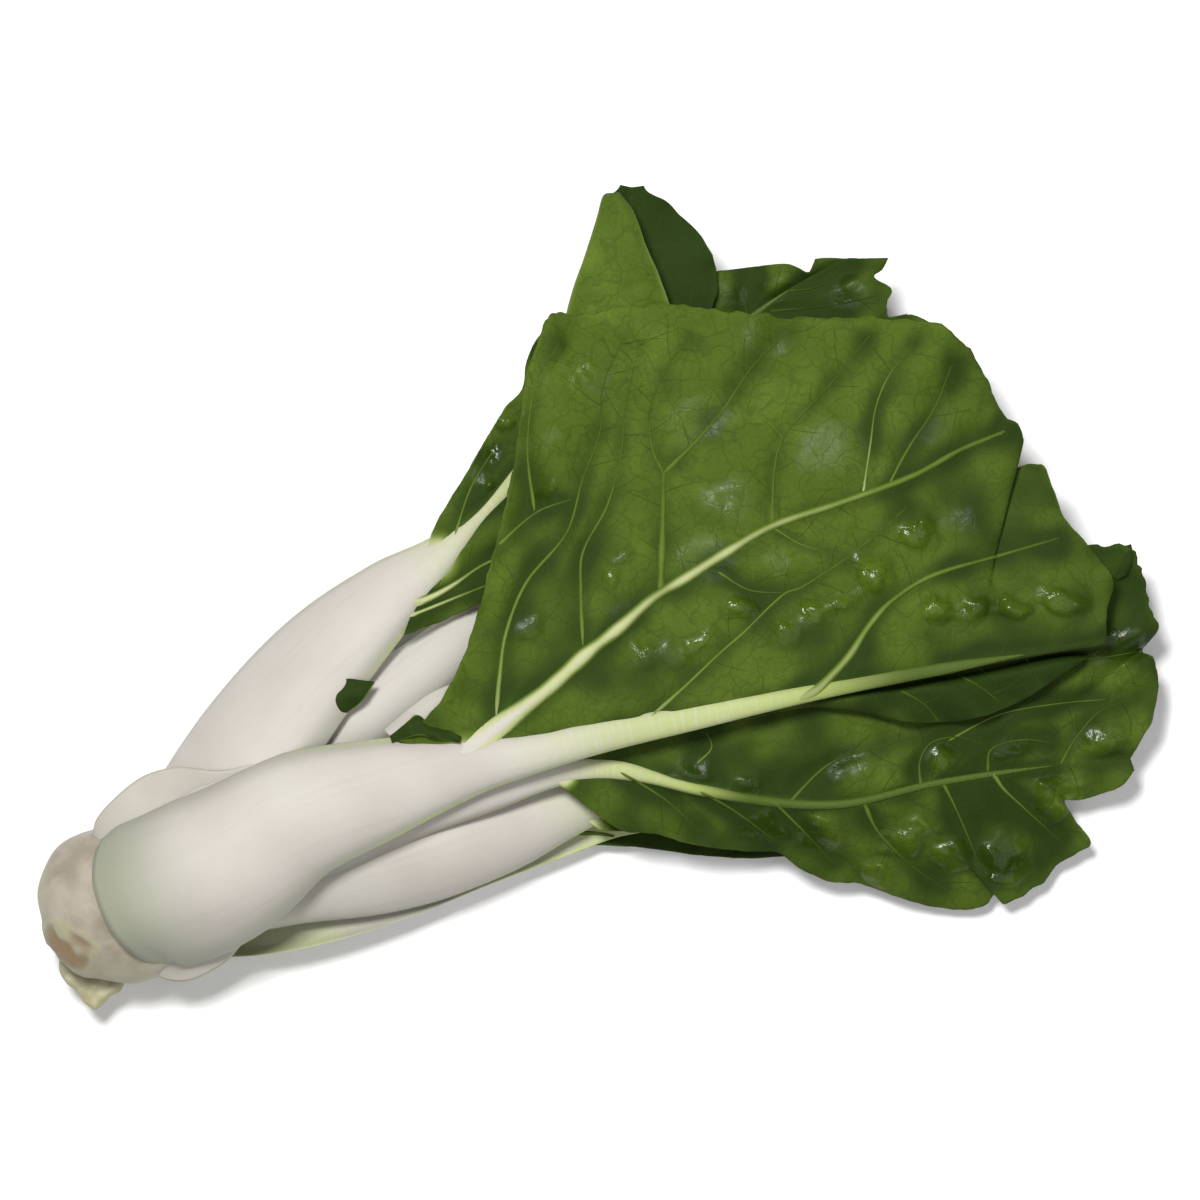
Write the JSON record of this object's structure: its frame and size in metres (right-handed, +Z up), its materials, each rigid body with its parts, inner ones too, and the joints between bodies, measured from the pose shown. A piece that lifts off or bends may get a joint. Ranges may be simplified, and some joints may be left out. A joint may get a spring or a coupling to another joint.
{
  "type": "bok choy head",
  "caption": "Whole head of bok choy lying on its side: broad white clasping stalks on a cut heel, opening into dark green ribbed, wavy leaf blades",
  "frame": {"origin": "centre of the bounding box, on the surface that the head lies on", "axes": "+X runs along the head from the heel to the leaf tips, +Y across it, +Z up"},
  "size_m": [0.2912, 0.2068, 0.0487],
  "materials": {
    "white_stalk": "smooth, moist, off-white with pale green edges",
    "green_blade": "waxy dark green leaf with pale ribs",
    "heel_tissue": "dull cream stem tissue with a browned cut"
  },
  "bodies": {
    "root": {"heel": "heel_tissue", "top_leaf_stalk": "white_stalk", "top_leaf_blade": "green_blade", "left_leaf_stalk": "white_stalk", "left_leaf_blade": "green_blade", "right_leaf_stalk": "white_stalk", "right_leaf_blade": "green_blade", "inner_leaf_stalk": "white_stalk", "inner_leaf_blade": "green_blade", "lower_leaf_stalk": "white_stalk", "lower_leaf_blade": "green_blade", "outer_leaf_stalk": "white_stalk", "outer_leaf_blade": "green_blade", "under_leaf_stalk": "white_stalk", "under_leaf_blade": "green_blade"}
  },
  "joints": []
}
